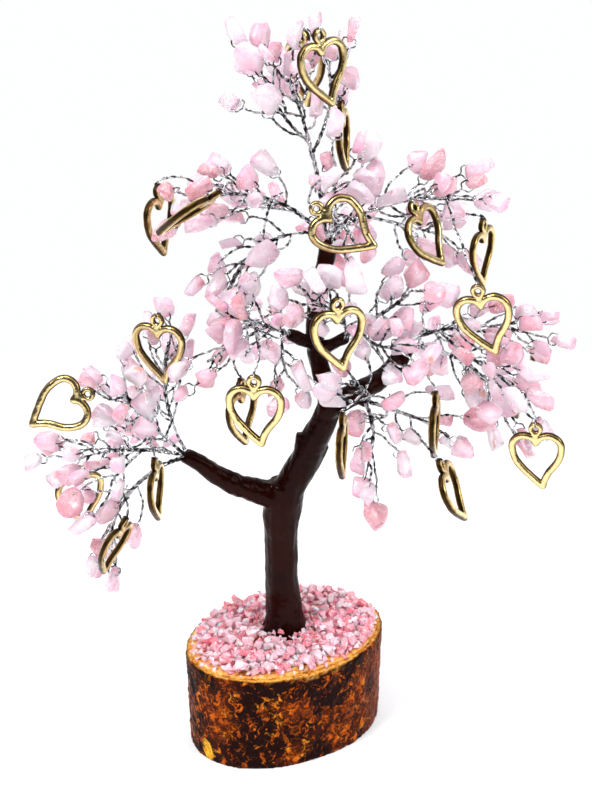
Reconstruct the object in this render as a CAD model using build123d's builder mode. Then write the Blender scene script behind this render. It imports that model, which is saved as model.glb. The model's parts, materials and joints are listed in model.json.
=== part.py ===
from build123d import *
import math
import os

import numpy as np

# Gemstone tree ornament: a wire tree with a coated trunk on a slice of branch. Its twigs carry
# drilled rose quartz chips and cast open hearts, and crushed quartz covers the slice.
# Millimetres, +Z up, origin at the middle of the underside. The front of the tree faces -Y.
# Places on the tree are hundredths of its rise above the slice, from the slice's top, as (x, y, z).

tree_rise = 245.0

# Slice of branch
slice_height = 41.0
slice_length = 84.0
slice_width = 62.2
slice_turn = 31.6
bark_thickness = 3.2
foot_share = 0.975
# How far the outline stands out from an oval, at equal turns from the slice's long axis
outline_shares = (1.0, 1.01, 0.99, 1.0, 1.02, 0.99, 1.0, 1.01, 1.0, 0.985, 1.01, 1.0)

# Bed of glue and crushed quartz
glue_thickness = 1.2
glue_margin = 2.2
stone_width = 3.1
stone_height = 2.4
stone_pitch = 2.0
stone_kinds = 6
stone_sides = 5
upper_stone_share = 0.45

# Coated trunk and limbs. Widths are across the coating.
trunk_width = 13.3
left_limb_width = 8.8
right_limb_width = 12.1
stem_width = 7.3
arm_width = 8.6
stub_width = 5.0
nub_width = 4.0
core_share = 0.5
peg_depth = 14.0
peg_width = 6.0
peg_clearance = 0.15

trunk_shares = ((0.0, 0.0, 0.0), (0.0, 0.0, 1.6), (-0.1, 0.0, 4.9), (-0.4, 0.0, 9.5),
                (-0.5, 0.0, 14.8), (-0.5, 0.0, 20.0), (-0.1, 0.0, 24.7), (0.4, -0.1, 27.9))
trunk_width_shares = (1.5, 1.32, 1.1, 1.0, 0.98, 1.04, 1.12, 1.0)
left_limb_shares = ((-0.2, 0.0, 23.7), (-2.1, -0.4, 25.8), (-5.1, -1.2, 27.2), (-9.0, -2.5, 29.6),
                    (-12.4, -3.3, 32.5), (-15.3, -3.6, 34.5))
left_limb_width_shares = (1.2, 1.2, 1.05, 0.9, 0.78, 0.66)
right_limb_shares = ((-0.1, 0.0, 23.9), (1.1, -0.4, 27.9), (2.9, -0.8, 31.7), (4.6, -1.2, 35.7),
                     (6.0, -1.6, 38.9), (6.9, -1.6, 41.5))
right_limb_width_shares = (1.05, 1.02, 0.96, 0.9, 0.84, 0.78)
stem_shares = ((6.1, -1.6, 39.2), (6.9, -1.6, 41.7), (6.2, -0.8, 45.0), (5.1, 0.0, 49.0),
               (4.7, 0.4, 52.8), (5.1, 0.8, 58.1), (6.1, 1.2, 63.5), (6.5, 1.6, 67.5))
stem_width_shares = (1.1, 1.14, 1.05, 1.0, 0.95, 0.92, 0.9, 0.82)
arm_shares = ((6.3, -1.6, 40.0), (8.4, -2.5, 43.0), (12.1, -1.6, 44.7), (15.9, 0.8, 46.2),
              (18.9, 3.3, 49.8))
arm_width_shares = (0.95, 1.0, 0.95, 0.86, 0.76)
right_stub_shares = ((4.7, 0.1, 50.0), (7.0, -1.6, 51.8), (9.2, -3.6, 54.0))
left_stub_shares = ((4.8, 0.2, 51.0), (2.6, -1.6, 52.8), (0.7, -2.8, 54.2))
low_stub_shares = ((8.9, -2.3, 43.3), (10.5, -4.3, 44.4), (12.3, -6.1, 44.6))
stub_width_shares = (0.95, 1.0, 0.85)
# Cut-off ends of branches on the right limb
left_nub_shares = ((1.9, -0.9, 31.5), (2.2, -1.0, 34.2), (2.6, -1.2, 36.9))
right_nub_shares = ((3.9, -0.6, 29.8), (5.3, -0.9, 32.6), (6.3, -1.2, 35.0))
nub_width_shares = (1.0, 1.0, 0.9)

# Wires: each bough is a bundle that leaves a limb's end, and a twig is a pair twisted together
bough_width = 1.9
side_bough_width = 1.4
twig_width = 0.8
wire_width = 0.4
seat_gap = 0.05
free_gap = 0.3

# Drilled chips
chip_length = 9.8
chip_width = 7.8
chip_thickness = 4.2
chip_hole = 0.9
chip_hole_inset = 3.0
chip_sides = 7
chip_lean = 22
# Length, width and thickness of each kind
chip_size_shares = ((1.0, 1.0, 1.0), (0.85, 0.95, 0.85), (1.12, 0.88, 1.05), (0.92, 1.12, 0.9),
                    (0.78, 0.82, 1.1), (1.05, 1.02, 1.0), (0.88, 0.88, 1.12), (1.18, 0.98, 0.85),
                    (0.82, 1.05, 0.95), (0.98, 0.85, 1.15))
twig_pitch = 2.7
shortest_twig = 6.0
longest_twig = 15.0
# Angle between a twig and its bough, at the bough's foot and at its tip
first_leave = 68
last_leave = 22
# A twig that finds no room turns, shortens or lengthens, and rolls its chip
twig_tries = 16
try_turns = (0, 25, -25, 50, -50, 75, -75, 100)
try_length_share = 0.23
try_roll_share = 0.17
golden_turn = 137.508

# Ends of limbs: side of the tree, path, width there
left_end = ("left", left_limb_shares, left_limb_width * left_limb_width_shares[-1])
top_end = ("top", stem_shares, stem_width * stem_width_shares[-1])
right_stub_end = ("top", right_stub_shares, stub_width * stub_width_shares[-1])
left_stub_end = ("top", left_stub_shares, stub_width * stub_width_shares[-1])
arm_end = ("right", arm_shares, arm_width * arm_width_shares[-1])
low_stub_end = ("right", low_stub_shares, stub_width * stub_width_shares[-1])

# Boughs that leave a limb's end: name, spray, limb's end, tip, bare share of the length
boughs = (
    ("crown", "crown", top_end, (0.7, -3.3, 92.5), 0.6),
    ("stem_front", "neck", top_end, (9.6, -12.3, 72.5), 0.2),
    ("upper_left", "upper_left", top_end, (-11.2, -6.5, 76.5), 0.34),
    ("shoulder", "left_shoulder", top_end, (-7.6, -2.8, 61.9), 0.25),
    ("upper_right", "upper_right", top_end, (24.2, -2.5, 74.8), 0.3),
    ("top_back", "top_back", top_end, (7.9, 17.2, 64.2), 0.2),
    ("right_shoulder", "right_shoulder", right_stub_end, (17.7, -9.8, 63.0), 0.2),
    ("centre_front", "centre_front", right_stub_end, (4.1, -17.2, 65.2), 0.2),
    ("centre_left", "centre_left", left_stub_end, (-5.0, -10.6, 59.8), 0.2),
    ("middle_back", "centre_left", left_stub_end, (-3.6, 18.0, 45.8), 0.45),
    ("far_right", "far_right", arm_end, (35.6, -0.8, 53.7), 0.25),
    ("right_low", "right_low", arm_end, (33.9, -1.6, 39.1), 0.25),
    ("right_back", "right_low", arm_end, (25.1, 17.2, 44.4), 0.25),
    ("right_hang", "right_hang", low_stub_end, (21.7, -11.1, 43.5), 0.25),
    ("low_centre", "right_hang", low_stub_end, (12.4, -13.9, 38.8), 0.2),
    ("low_front", "centre_front", low_stub_end, (10.4, -12.6, 50.4), 0.2),
    ("left_up", "left_up", left_end, (-17.4, -1.6, 51.0), 0.25),
    ("left_out", "left_up", left_end, (-23.7, -8.2, 47.2), 0.25),
    ("left_low", "left_low", left_end, (-32.3, 2.5, 30.7), 0.3),
    ("left_drop", "left_low", left_end, (-27.1, -5.7, 19.5), 0.3),
)
# Boughs that leave another one: name, spray, bough and place along it, tip, bare share
side_boughs = (
    ("crown_right", "crown", "crown", 0.55, (6.5, 1.2, 93.0), 0.3),
    ("crown_left", "crown", "crown", 0.62, (-2.6, 0.9, 91.6), 0.2),
    ("neck", "neck", "crown", 0.22, (7.7, -7.7, 80.5), 0.3),
    ("upper_left_back", "upper_left", "upper_left", 0.3, (-3.2, 6.1, 70.7), 0.25),
    ("upper_right_back", "upper_right", "upper_right", 0.3, (23.6, 8.2, 65.8), 0.25),
    ("right_front", "right_shoulder", "right_shoulder", 0.25, (14.7, -15.1, 57.3), 0.25),
    ("far_right_front", "far_right", "far_right", 0.3, (31.6, -9.8, 50.3), 0.25),
    ("left_middle", "left_low", "left_low", 0.35, (-25.9, -8.2, 32.4), 0.2),
    ("left_back", "left_low", "left_low", 0.25, (-23.6, 13.9, 31.4), 0.25),
    ("centre_low", "centre_left", "centre_left", 0.15, (0.7, -7.4, 49.3), 0.2),
    ("left_reach", "centre_left", "centre_left", 0.5, (-11.2, -6.1, 51.0), 0.3),
    ("right_inner", "right_hang", "right_hang", 0.3, (14.5, -6.8, 42.3), 0.15),
)

# Cast hearts. The outline's points are shares of the heart's height, from the notch.
heart_height = 21.5
heart_bar = 2.0
heart_thickness = 1.9
heart_rounding = 0.7
# The eye is a ring on a post that stands in the notch
eye_width = 4.7
eye_hole = 2.6
eye_rise = 5.7
eye_thickness = 1.5
post_foot_width = 1.0
post_head_width = 3.0
left_lobe_shares = ((0.0, 0.0), (-0.256, 0.128), (-0.405, -0.082), (-0.247, -0.465))
right_lobe_shares = ((0.0, 0.0), (0.272, 0.132), (0.433, -0.082), (0.298, -0.442))
tip_shares = (0.112, -0.819)
hanger_gap = 0.15
# Places along a bough that a heart's wire may leave from, and how far it may turn up and ahead
# there. The steep ways, which rise over a heart that is above its bough, are tried last.
hanger_start_shares = (0.1, 0.2, 0.3, 0.4, 0.5, 0.6, 0.7, 0.8, 0.9, 0.97)
hanger_turn_shares = ((0.5, 0.4), (0.1, 0.4), (1.0, 0.4), (-0.3, 0.4))
steep_turn_shares = ((1.0, 1.5), (0.5, 3.0), (3.0, 0.4), (3.0, 1.5))
hanger_steps = 30
# Longest way, against a straight one, and the squarest arrival at a loop from behind or in front
longest_way_share = 2.0
square_share = 0.3
foot_widths_share = 1.5
heart_clearance = 0.5

# Hearts: spray that carries it, place of its eye, turn about its own length from facing the
# front, lean to the right of hanging straight, least and greatest swing. A heart whose swing
# stops at 0 lies on the chips beside it.
hearts = (
    ("centre_left", (-4.0, -20.0, 54.6), -8, 0, -20, 20),
    ("centre_left", (-6.1, -11.8, 50.3), 62, 0, -15, 15),
    ("centre_front", (7.4, -22.1, 67.0), 26, 0, -20, 20),
    ("upper_right", (27.2, -13.3, 65.5), -12, 12, 0, 20),
    ("far_right", (37.4, -8.1, 41.5), -14, 4, -15, 15),
    ("far_right", (38.1, 3.3, 47.2), 74, -12, -15, 15),
    ("neck", (4.3, -14.7, 77.9), 12, 50, 0, 20),
    ("crown", (4.9, -7.5, 100.0), 38, 6, -15, 15),
    ("crown", (3.0, 8.4, 96.1), -48, 0, -15, 15),
    ("crown", (8.1, -2.5, 88.7), 80, 4, -15, 15),
    ("upper_left", (-17.5, -6.5, 77.9), 66, 0, -15, 15),
    ("upper_left", (-8.8, -15.4, 80.0), 70, -56, -12, 12),
    ("left_up", (-18.4, -5.6, 57.9), -20, 0, -15, 15),
    ("left_up", (-28.0, -11.2, 48.4), -14, -66, -20, 0),
    ("left_low", (-32.8, 4.9, 27.7), 30, 0, -15, 15),
    ("left_low", (-19.1, -11.0, 37.1), 82, 0, -15, 15),
    ("left_low", (-23.8, -12.1, 27.7), 66, -24, -15, 15),
    ("centre_front", (8.3, -20.5, 49.1), 82, 0, -15, 15),
    ("right_shoulder", (21.6, -16.6, 50.5), 80, 0, -12, 12),
    ("right_hang", (21.9, -24.0, 43.5), 78, 22, -12, 12),
    ("upper_right", (18.1, -8.4, 76.0), 56, 24, -10, 14),
    ("upper_right", (29.5, 3.7, 69.3), 62, 0, -15, 15),
)

os.makedirs("parts", exist_ok=True)


def vary(index, stream):
    """An even but irregular value between 0 and 1"""
    return (index * math.sqrt((2, 3, 5, 7, 11, 13)[stream])) % 1.0


def place(shares):
    return Vector(0, 0, slice_height) + Vector(*shares) * (tree_rise / 100)


def keep(name, piece):
    piece.label = name
    export_step(piece, f"parts/{name}.step")
    print(name, len(piece.solids()), "solids", round(piece.volume, 1))


def gather(name, pieces):
    """One sub-part of many loose pieces"""
    keep(name, Compound(children=pieces))


# Slice of branch

def slice_outline(inset, size_share):
    """Closed outline of the slice, drawn in by inset"""
    points = []
    for index, outline_share in enumerate(outline_shares):
        turn = 2 * math.pi * index / len(outline_shares)
        long_half = (slice_length / 2 * outline_share - inset) * size_share
        short_half = (slice_width / 2 * outline_share - inset) * size_share
        point = Vector(math.cos(turn) * long_half, math.sin(turn) * short_half)
        points.append(point.rotate(Axis.Z, slice_turn))
    Spline(*points, periodic=True)


def slice_body(inset):
    with BuildPart() as body:
        with BuildSketch():
            with BuildLine():
                slice_outline(inset, foot_share)
            make_face()
        with BuildSketch(Plane.XY.offset(slice_height)):
            with BuildLine():
                slice_outline(inset, 1)
            make_face()
        loft(ruled=True)
    return body.part


with BuildPart() as wood_core:
    add(slice_body(bark_thickness))
    with Locations((0, 0, slice_height)):
        Hole(peg_width / 2 + peg_clearance, depth=peg_depth + peg_clearance)
keep("wood_core", wood_core.part)

with BuildPart() as bark_ring:
    add(slice_body(0))
    add(slice_body(bark_thickness), mode=Mode.SUBTRACT)
keep("bark_ring", bark_ring.part)


# Trunk and limbs

def limb(path_shares, width_shares, width):
    """A round limb through sections square to its path"""
    points = [place(shares) for shares in path_shares]
    with BuildPart() as body:
        for index, width_share in enumerate(width_shares):
            ahead = points[min(index + 1, len(points) - 1)]
            behind = points[max(index - 1, 0)]
            # The foot stands flat on the wood
            along = Vector(0, 0, 1) if index == 0 and path_shares is trunk_shares else ahead - behind
            with BuildSketch(Plane(origin=points[index], z_dir=along)):
                Circle(width * width_share / 2)
        loft()
    return body.part


limb_table = (
    (trunk_shares, trunk_width_shares, trunk_width),
    (left_limb_shares, left_limb_width_shares, left_limb_width),
    (right_limb_shares, right_limb_width_shares, right_limb_width),
    (stem_shares, stem_width_shares, stem_width),
    (arm_shares, arm_width_shares, arm_width),
    (right_stub_shares, stub_width_shares, stub_width),
    (left_stub_shares, stub_width_shares, stub_width),
    (low_stub_shares, stub_width_shares, stub_width),
    (left_nub_shares, nub_width_shares, nub_width),
    (right_nub_shares, nub_width_shares, nub_width),
)

with BuildPart() as trunk_core:
    with Locations((0, 0, slice_height - peg_depth)):
        Cylinder(peg_width / 2, peg_depth, align=(Align.CENTER, Align.CENTER, Align.MIN))
    # The wires inside end one section short of each limb's end
    for path_shares, width_shares, width in limb_table[:5]:
        inner = len(path_shares) - (path_shares in (left_limb_shares, stem_shares, arm_shares))
        add(limb(path_shares[:inner], width_shares[:inner], width * core_share))

with BuildPart() as trunk_coat:
    for path_shares, width_shares, width in limb_table:
        add(limb(path_shares, width_shares, width))

with BuildPart() as glue_bed:
    with BuildSketch(Plane.XY.offset(slice_height)):
        with BuildLine():
            slice_outline(glue_margin, 1)
        make_face()
    extrude(amount=glue_thickness)
    add(trunk_coat.part, mode=Mode.SUBTRACT)

with BuildPart() as hollow_coat:
    add(trunk_coat.part)
    add(trunk_core.part, mode=Mode.SUBTRACT)

keep("trunk_core", trunk_core.part)
keep("trunk_coat", hollow_coat.part)
keep("glue_bed", glue_bed.part)


# Crushed quartz

def gem_blank(length, width, thickness, sides, lean, kind):
    """A lump with flat faces: a block cut by leaning planes"""
    with BuildPart() as blank:
        Box(length, width, thickness, align=(Align.MIN, Align.CENTER, Align.CENTER))
        for side in range(sides):
            number = kind * sides + side + 1
            turn = 360 * (side + 0.7 * vary(number, 0)) / sides
            tilt = lean * (2 * vary(number, 1) - 1)
            away = Vector(1, 0, 0).rotate(Axis.Y, -tilt).rotate(Axis.Z, turn)
            reach = math.hypot(away.X * length, away.Y * width) / 2 * (0.82 + 0.16 * vary(number, 2))
            origin = Vector(length / 2, 0, 0) + away * reach
            split(bisect_by=Plane(origin=origin, z_dir=away), keep=Keep.BOTTOM)
    return blank.part


stone_blanks = [
    gem_blank(stone_width, stone_width * (0.8 + 0.2 * vary(kind + 1, 3)), stone_height,
              stone_sides, chip_lean, kind)
    for kind in range(stone_kinds)
]
stones = []
bed_top = slice_height + glue_thickness
foot_radius = trunk_width * trunk_width_shares[0] / 2
ring_count = int(slice_length * slice_width / (4 * stone_pitch ** 2))
for layer in range(2):
    for index in range(ring_count):
        radius = stone_pitch * math.sqrt(index + 0.5)
        turn = math.radians(index * golden_turn + layer * golden_turn / 2)
        spot = Vector(math.cos(turn), math.sin(turn)) * radius
        local = spot.rotate(Axis.Z, -slice_turn)
        rim = glue_margin + stone_width / 2
        inside = math.hypot(local.X / (slice_length / 2 - rim), local.Y / (slice_width / 2 - rim)) < 1
        clear = radius > foot_radius + stone_width * 0.75
        if not inside or not clear or (layer and vary(index + 1, 4) > upper_stone_share):
            continue
        height = bed_top + stone_height / 2 + layer * stone_height
        seat = Location((spot.X, spot.Y, height), (0, 0, 360 * vary(index + 1, 5)))
        middle = Location((-stone_width / 2, 0, 0))
        stones.append(stone_blanks[(index + layer) % stone_kinds].moved(seat * middle))
gather("gravel", stones)


# Room taken by the pieces placed so far, as balls and as blocks with flat faces

class Room:
    def __init__(self):
        self.centres = np.empty((0, 3))
        self.radii = np.empty(0)
        self.blocks = []

    def take_balls(self, points, radius):
        self.centres = np.vstack([self.centres, points])
        self.radii = np.concatenate([self.radii, np.full(len(points), radius)])

    def balls_fit(self, points, radius, gap):
        points = np.asarray(points)
        apart = np.linalg.norm(self.centres[:, None] - points[None], axis=2)
        if len(self.radii) and (apart < self.radii[:, None] + radius + gap).any():
            return False
        for block in self.blocks:
            near = points[np.linalg.norm(points - block["middle"], axis=1) < block["reach"] + radius + gap]
            if len(near) and (block["height"](near) < radius + gap).any():
                return False
        return True

    def block_fits(self, block, gap):
        apart = np.linalg.norm(self.centres - block["middle"], axis=1)
        near = apart < self.radii + block["reach"] + gap
        if near.any() and (block["height"](self.centres[near]) < self.radii[near] + gap).any():
            return False
        for other in self.blocks:
            between = np.linalg.norm(other["middle"] - block["middle"])
            if between < other["reach"] + block["reach"] + gap and not blocks_apart(block, other, gap):
                return False
        return True


def make_block(corners, normals):
    middle = corners.mean(axis=0)
    faces = (corners @ normals.T).max(axis=0)

    def height(points):
        """Distance of each point outside the block's furthest face plane"""
        return (points @ normals.T - faces).max(axis=1)

    reach = np.linalg.norm(corners - middle, axis=1).max()
    return {"corners": corners, "normals": normals, "middle": middle, "reach": reach, "height": height}


def blocks_apart(one, other, gap):
    across = other["middle"] - one["middle"]
    axes = np.vstack([one["normals"], -other["normals"], across / np.linalg.norm(across)])
    return ((other["corners"] @ axes.T).min(axis=0) - (one["corners"] @ axes.T).max(axis=0) > gap).any()


def placed_block(blank, plane):
    """The block of a blank that stands on a plane"""
    turn = np.array([tuple(plane.x_dir), tuple(plane.y_dir), tuple(plane.z_dir)])
    corners = np.array([tuple(vertex) for vertex in blank.vertices()])
    normals = np.array([tuple(face.normal_at()) for face in blank.faces()])
    return make_block(corners @ turn + np.array(tuple(plane.origin)), normals @ turn)


def arc_points(arc, step):
    count = max(2, math.ceil(arc.length / step))
    return np.array([tuple(arc @ (index / count)) for index in range(count + 1)])


def arc_between(start, end, along, count):
    """Points on the arc that leaves start along a direction and ends at end"""
    first = np.array(tuple(start))
    chord = np.array(tuple(end)) - first
    ahead = np.array(tuple(along.normalized()))
    aside = chord - ahead * (chord @ ahead)
    steps = np.linspace(0, 1, count)
    if np.linalg.norm(aside) < 1e-6:
        return first + np.outer(steps, chord)
    half_turn = math.atan2(np.linalg.norm(aside), chord @ ahead)
    radius = np.linalg.norm(chord) / (2 * math.sin(half_turn))
    turns = 2 * half_turn * steps
    bulge = np.outer(1 - np.cos(turns), aside / np.linalg.norm(aside))
    return first + radius * (np.outer(np.sin(turns), ahead) + bulge)


room = Room()
for path_shares, width_shares, width in limb_table:
    for index in range(len(path_shares) - 1):
        start = place(path_shares[index])
        run = place(path_shares[index + 1]) - start
        for part_share in np.linspace(0, 1, 5):
            thickness = max(width_shares[index], width_shares[index + 1]) * width
            room.take_balls([tuple(start + run * part_share)], thickness / 2)


# Boughs: bundles of wire that bend from a limb's end to the tip of a spray

def bent_wire(start, end, along, width):
    """A round wire that leaves start along a direction and ends at end in one arc"""
    with BuildPart() as wire:
        with BuildLine() as path:
            arc = TangentArc(start, end, tangent=along)
        with BuildSketch(Plane(origin=start, z_dir=along)):
            Circle(width / 2)
        sweep()
    return wire.part, arc


branch_wires = {"left": [], "top": [], "right": []}
bough_arcs = {}


def keep_bough(name, spray, side, start, tip, along, width, bare_share):
    wire, arc = bent_wire(start, tip, along, width)
    branch_wires[side].append(wire)
    points = arc_points(arc, width / 2)
    if not room.balls_fit(points[len(points) // 4:], width / 2, 0):
        print("crossed bough", name)
    room.take_balls(points, width / 2)
    bough_arcs[name] = (spray, side, arc, width, bare_share)


for end_shares in (left_end, top_end, right_stub_end, left_stub_end, arm_end, low_stub_end):
    side, path_shares, end_width = end_shares
    leaving = [bough for bough in boughs if bough[2] is end_shares]
    heading = (place(path_shares[-1]) - place(path_shares[-2])).normalized()
    face = Plane(origin=place(path_shares[-1]) + heading * seat_gap, z_dir=heading)

    def bearing(bough):
        local = face.to_local_coords(place(bough[3]))
        return math.atan2(local.Y, local.X)

    leaving.sort(key=bearing)
    # Evenly round the end, each as near to its own bearing as that allows
    strays = [bearing(bough) - 2 * math.pi * index / len(leaving) for index, bough in enumerate(leaving)]
    first = math.atan2(sum(math.sin(stray) for stray in strays), sum(math.cos(stray) for stray in strays))
    spread = min(end_width / 2 - bough_width / 2, bough_width)
    for index, (name, spray, _, tip_place, bare_share) in enumerate(leaving):
        turn = first + 2 * math.pi * index / len(leaving)
        start = face.from_local_coords(Vector(math.cos(turn), math.sin(turn)) * spread)
        along = (heading * 0.7 + (place(tip_place) - start).normalized()).normalized()
        # The lower edge of a bough that leaves at an angle stays clear of the coating
        start = start + heading * (bough_width / 2 * heading.cross(along).length)
        keep_bough(name, spray, side, start, place(tip_place), along, bough_width, bare_share)
for name, spray, carrier, carrier_share, tip_place, bare_share in side_boughs:
    _, side, carrier_arc, carrier_width, _ = bough_arcs[carrier]
    point = carrier_arc @ carrier_share
    heading = carrier_arc % carrier_share
    run = place(tip_place) - point
    across = (run - heading * run.dot(heading)).normalized()
    start = point + across * (carrier_width / 2 + side_bough_width / 2 + seat_gap)
    along = (heading * 0.5 + across + run.normalized() * 0.5).normalized()
    keep_bough(name, spray, side, start, place(tip_place), along, side_bough_width, bare_share)
for side, wires in branch_wires.items():
    gather(f"{side}_branch_wires", wires)


# Hearts and the wire loops that they hang from

def heart_point(shares):
    return shares[0] * heart_height, shares[1] * heart_height


with BuildSketch() as heart_middle:
    with BuildLine():
        for start, crest, side, flank in (left_lobe_shares, right_lobe_shares):
            lobe = ThreePointArc(heart_point(start), heart_point(crest), heart_point(side))
            lower = TangentArc(lobe @ 1, heart_point(flank), tangent=lobe % 1)
            TangentArc(lower @ 1, heart_point(tip_shares), tangent=lower % 1)
    make_face()
with BuildSketch() as heart_outside:
    offset(heart_middle.sketch, amount=heart_bar / 2, kind=Kind.ARC)
with BuildSketch() as heart_inside:
    offset(heart_middle.sketch, amount=-heart_bar / 2, kind=Kind.ARC)
with BuildPart() as heart_frame:
    with BuildSketch():
        add(heart_outside.sketch)
        add(heart_inside.sketch, mode=Mode.SUBTRACT)
    extrude(amount=heart_thickness / 2, both=True)
    fillet(heart_frame.faces().filter_by(Axis.Z).edges(), radius=heart_rounding)
with BuildPart() as heart:
    add(heart_frame.part)
    with BuildSketch():
        with BuildLine():
            Polyline((-post_foot_width / 2, 0), (post_foot_width / 2, 0), (post_head_width / 2, eye_rise),
                     (-post_head_width / 2, eye_rise), close=True)
        make_face()
    extrude(amount=eye_thickness / 2, both=True)
    with Locations((0, eye_rise)):
        Cylinder(eye_width / 2, eye_thickness)
        Cylinder(eye_hole / 2, heart_thickness * 2, mode=Mode.SUBTRACT)
# The wire bears on the top of the eye's hole, which becomes the heart's own origin
hanger_rise = eye_rise + eye_hole / 2 - wire_width / 2 - seat_gap
hung_heart = heart.part.moved(Location((0, -hanger_rise)))


def wire_loop(near, far, half, plane):
    """A closed loop of wire in a plane, from near to far along its X and half to each side"""
    with BuildPart() as loop:
        with BuildLine(plane) as path:
            FilletPolyline((near, -half), (far, -half), (far, half), (near, half),
                           radius=min(half, (far - near) / 2) * 0.6, close=True)
        rail = path.wires()[0]
        with BuildSketch(Plane(origin=rail @ 0, z_dir=rail % 0)):
            Circle(wire_width / 2)
        sweep()
    return loop.part


hanger_half = heart_thickness / 2 + wire_width / 2 + hanger_gap
hanger_top = eye_width / 2 - (hanger_rise - eye_rise) + wire_width / 2 + hanger_gap
# Seen along the heart's plane: X runs up the heart and Y is the heart's own axis
heart_loop = wire_loop(0, hanger_top, hanger_half, Plane(origin=(0, 0, 0), x_dir=(0, 1, 0), z_dir=(1, 0, 0)))

heart_rim = []
for start, crest, side, flank in (left_lobe_shares, right_lobe_shares):
    with BuildLine() as half_line:
        lobe = ThreePointArc(heart_point(start), heart_point(crest), heart_point(side))
        lower = TangentArc(lobe @ 1, heart_point(flank), tangent=lobe % 1)
        last = TangentArc(lower @ 1, heart_point(tip_shares), tangent=lower % 1)
    for edge in (lobe, lower, last):
        heart_rim.extend(edge @ step_share for step_share in np.linspace(0, 1, 6))
# Places round the eye
eye_ring = []
for turn in range(0, 360, 45):
    eye_ring.append(Vector(0, eye_rise) + Vector((eye_width - heart_bar) / 2, 0).rotate(Axis.Z, turn))

twig_pieces = {bough[1]: [] for bough in boughs}
heart_places = []
for number, (spray, eye_shares, turn, lean, least, most) in enumerate(hearts, start=1):
    name = f"heart_{number:02d}"
    length_axis = Vector(0, 0, 1).rotate(Axis.Y, -lean)
    level = Vector(1, 0, 0).rotate(Axis.Y, -lean).rotate(Axis((0, 0, 0), length_axis), turn)
    facing = level.cross(length_axis)
    seat = Plane(origin=place(eye_shares), x_dir=level, z_dir=facing)
    heart_places.append((name, spray, seat))
    keep(name, hung_heart.moved(seat.location))
    axis = tuple(round(value, 5) for value in facing)
    print("hinge", name, *[round(value, 4) for value in seat.origin], *axis, least, most)
    twig_pieces[spray].append(heart_loop.moved(seat.location))
    # The heart keeps the room of its whole swing
    swings = [least + (most - least) * swing_share for swing_share in np.linspace(0, 1, 5)]
    room_points = []
    for swing in swings:
        for point in heart_rim:
            local = (point - Vector(0, hanger_rise)).rotate(Axis.Z, swing)
            room_points.append(tuple(seat.from_local_coords(local)))
        for point in eye_ring:
            local = (point - Vector(0, hanger_rise)).rotate(Axis.Z, swing)
            room_points.append(tuple(seat.from_local_coords(local)))
    if not room.balls_fit(room_points, heart_bar / 2, free_gap):
        print("crowded", name)
    room.take_balls(room_points, heart_bar / 2 + heart_clearance)
    rim = [Vector(0, height, side * hanger_half) for height in (0, hanger_top) for side in (-1, 1)]
    room.take_balls([tuple(seat.from_local_coords(spot)) for spot in rim], wire_width / 2)

# A wire from the nearest bough of the same spray that has a clear way to the heart's loop. It
# joins the loop from above, or else from behind or in front.
stand_off = wire_width / 2 + twig_width / 2 + seat_gap
loop_ends = (
    (Vector(0, hanger_top + stand_off), Vector(0, -1)),
    (Vector(0, hanger_top / 2, -hanger_half - stand_off), Vector(0, 0, 1)),
    (Vector(0, hanger_top / 2, hanger_half + stand_off), Vector(0, 0, -1)),
)
for name, spray, seat in heart_places:
    ways = []
    for rank, (local_end, local_inward) in enumerate(loop_ends):
        end = seat.from_local_coords(local_end)
        inward = np.array(tuple(seat.from_local_coords(local_inward) - seat.origin))
        for bough_spray, _, arc, width, bare_share in bough_arcs.values():
            if bough_spray != spray:
                continue
            for step_share in hanger_start_shares:
                point = arc @ step_share
                heading = arc % step_share
                run = end - point
                across = run - heading * run.dot(heading)
                for lift, ahead in hanger_turn_shares + steep_turn_shares:
                    away = (across.normalized() + Vector(0, 0, lift)).normalized()
                    away = (away - heading * away.dot(heading)).normalized()
                    start = point + away * (width / 2 + twig_width / 2 + seat_gap)
                    leave = (away + heading * ahead).normalized()
                    steep = (lift, ahead) in steep_turn_shares
                    ways.append((rank, steep, run.length, start, end, inward, leave))
    ways.sort(key=lambda way: way[:3])
    for rank, _, length, start, end, inward, leave in ways:
        points = arc_between(start, end, leave, hanger_steps)
        travel = np.linalg.norm(points[1:] - points[:-1], axis=1).sum()
        foot = math.ceil(hanger_steps * twig_width * foot_widths_share / travel)
        arrival = (points[-1] - points[-2]) @ inward / np.linalg.norm(points[-1] - points[-2])
        if (travel < longest_way_share * length and arrival > (0 if rank == 0 else square_share)
                and room.balls_fit(points[foot:], twig_width / 2, seat_gap)):
            break
    else:
        print("crossed wire", name)
    stem, arc = bent_wire(start, end, leave, twig_width)
    room.take_balls(points, twig_width / 2)
    twig_pieces[spray].append(stem)
for _, _, seat in heart_places:
    room.take_balls([tuple(seat.from_local_coords(Vector(0, hanger_top)))], wire_width / 2)


# Chips, each on its own twisted twig

chip_blanks = []
chips = []
chip_loops = []
for kind, (length_share, width_share, thickness_share) in enumerate(chip_size_shares):
    length = chip_length * length_share
    thickness = chip_thickness * thickness_share
    blank = gem_blank(length, chip_width * width_share, thickness, chip_sides, chip_lean, kind)
    near_rim = min(vertex.X for vertex in blank.vertices())
    # The twig ends at the blank's origin, just clear of the rim
    blank = blank.moved(Location((wire_width / 2 + seat_gap + free_gap - near_rim, 0, 0)))
    chip_blanks.append(blank)
    with BuildPart() as chip:
        add(blank)
        with Locations((chip_hole_inset, 0, thickness / 2)):
            Hole(chip_hole / 2)
    chips.append(chip.part)
    half = thickness / 2 + wire_width / 2 + seat_gap
    chip_loops.append(wire_loop(0, chip_hole_inset, half, Plane.XZ))

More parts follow.
